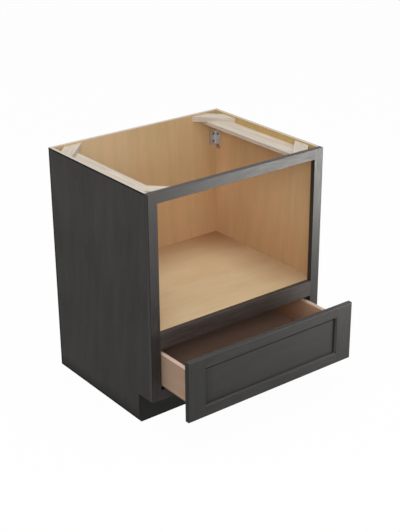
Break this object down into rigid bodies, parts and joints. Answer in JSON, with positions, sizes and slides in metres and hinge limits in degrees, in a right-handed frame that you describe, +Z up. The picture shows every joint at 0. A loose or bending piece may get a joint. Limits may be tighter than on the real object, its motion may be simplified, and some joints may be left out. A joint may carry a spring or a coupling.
{
  "type": "base microwave cabinet",
  "caption": "Open-topped, framed kitchen base cabinet with a compartment for a microwave oven above a full-extension shaker drawer on concealed slides.",
  "frame": {"origin": "on the wall face of the back panel, at the middle of the cabinet's width, at floor height", "axes": "+X to the right as seen from the front, +Y back into the wall, +Z up; the face frame and the drawer face -Y"},
  "size_m": [0.762, 0.8022, 0.8763],
  "materials": {
    "finished_panel": "satin charcoal finish over maple veneer, vertical grain",
    "finished_frame": "satin charcoal finish over solid maple",
    "finished_front": "satin charcoal finish over solid maple",
    "toe_board": "flat dark paint",
    "maple_panel": "clear-coated maple plywood",
    "raw_wood": "unfinished sanded wood",
    "drawer_wood": "clear-coated solid maple",
    "drawer_ply": "clear-coated plywood",
    "zinc_steel": "zinc-plated, satin",
    "slide_steel": "galvanised, satin",
    "roller_steel": "ground steel",
    "dark_screw": "black phosphate",
    "bright_screw": "zinc-plated",
    "cage_plastic": "natural moulded",
    "device_plastic": "moulded grey",
    "lever_plastic": "moulded orange",
    "bumper": "clear soft pad"
  },
  "bodies": {
    "cabinet": {"back_left_corner_block": "raw_wood", "back_panel": "maple_panel", "back_right_corner_block": "raw_wood", "bottom_rail": "finished_frame", "bracket_screws": "dark_screw", "cabinet_bottom": "maple_panel", "front_left_corner_block": "raw_wood", "front_right_corner_block": "raw_wood", "left_corner_bracket": "zinc_steel", "left_side_panel": "finished_panel", "left_slide_rail": "slide_steel", "left_slide_rear_bracket": "zinc_steel", "left_stile": "finished_frame", "left_top_cleat": "raw_wood", "microwave_shelf": "maple_panel", "mid_rail": "finished_frame", "rear_bracket_screws": "bright_screw", "right_corner_bracket": "zinc_steel", "right_side_panel": "finished_panel", "right_slide_rail": "slide_steel", "right_slide_rear_bracket": "zinc_steel", "right_stile": "finished_frame", "right_top_cleat": "raw_wood", "slide_rail_screws": "bright_screw", "toe_kick_board": "toe_board", "top_rail": "finished_frame"},
    "drawer": {"drawer_back": "drawer_wood", "drawer_bottom": "drawer_ply", "drawer_inner_front": "drawer_wood", "front_bottom_rail": "finished_front", "front_bumpers": "bumper", "front_fixing_screws": "bright_screw", "front_panel": "finished_front", "front_top_rail": "finished_front", "left_drawer_runner": "slide_steel", "left_drawer_side": "drawer_wood", "left_front_stile": "finished_front", "left_locking_device": "device_plastic", "locking_device_screws": "bright_screw", "right_drawer_runner": "slide_steel", "right_drawer_side": "drawer_wood", "right_front_stile": "finished_front", "right_locking_device": "device_plastic"},
    "left_middle_member": {"left_middle_slide": "slide_steel"},
    "left_lower_carriage": {"left_lower_roller_cage": "cage_plastic", "left_lower_rollers": "roller_steel"},
    "left_upper_carriage": {"left_upper_roller_cage": "cage_plastic", "left_upper_rollers": "roller_steel"},
    "left_lever": {"left_release_lever": "lever_plastic"},
    "right_middle_member": {"right_middle_slide": "slide_steel"},
    "right_lower_carriage": {"right_lower_roller_cage": "cage_plastic", "right_lower_rollers": "roller_steel"},
    "right_upper_carriage": {"right_upper_roller_cage": "cage_plastic", "right_upper_rollers": "roller_steel"},
    "right_lever": {"right_release_lever": "lever_plastic"}
  },
  "joints": [
    {"name": "drawer_slide", "type": "slide", "parent": "cabinet", "child": "drawer", "axis": [0, -1, 0], "range_m": [-0.1715, 0.3555]},
    {"name": "left_middle_slide_travel", "type": "slide", "parent": "cabinet", "child": "left_middle_member", "axis": [0, -1, 0], "range_m": [-0.08575, 0.17775]},
    {"name": "left_lower_rollers_travel", "type": "slide", "parent": "cabinet", "child": "left_lower_carriage", "axis": [0, -1, 0], "range_m": [-0.04288, 0.08887]},
    {"name": "left_upper_rollers_travel", "type": "slide", "parent": "cabinet", "child": "left_upper_carriage", "axis": [0, -1, 0], "range_m": [-0.12862, 0.26663]},
    {"name": "right_middle_slide_travel", "type": "slide", "parent": "cabinet", "child": "right_middle_member", "axis": [0, -1, 0], "range_m": [-0.08575, 0.17775]},
    {"name": "right_lower_rollers_travel", "type": "slide", "parent": "cabinet", "child": "right_lower_carriage", "axis": [0, -1, 0], "range_m": [-0.04288, 0.08887]},
    {"name": "right_upper_rollers_travel", "type": "slide", "parent": "cabinet", "child": "right_upper_carriage", "axis": [0, -1, 0], "range_m": [-0.12862, 0.26663]},
    {"name": "left_lever_pivot", "type": "hinge", "parent": "drawer", "child": "left_lever", "pos_m": [-0.2889, -0.72723, 0.16825], "axis": [0, 0, 1], "range_deg": [0, 12], "stiffness_Nm_per_rad": 0.02, "springref_deg": -10},
    {"name": "right_lever_pivot", "type": "hinge", "parent": "drawer", "child": "right_lever", "pos_m": [0.2889, -0.72723, 0.16825], "axis": [0, 0, -1], "range_deg": [0, 12], "stiffness_Nm_per_rad": 0.02, "springref_deg": -10}
  ],
  "couplings": [
    {"joint": "left_middle_slide_travel", "follows": "drawer_slide", "ratio": 0.5},
    {"joint": "left_lower_rollers_travel", "follows": "drawer_slide", "ratio": 0.25},
    {"joint": "left_upper_rollers_travel", "follows": "drawer_slide", "ratio": 0.75},
    {"joint": "right_middle_slide_travel", "follows": "drawer_slide", "ratio": 0.5},
    {"joint": "right_lower_rollers_travel", "follows": "drawer_slide", "ratio": 0.25},
    {"joint": "right_upper_rollers_travel", "follows": "drawer_slide", "ratio": 0.75}
  ]
}
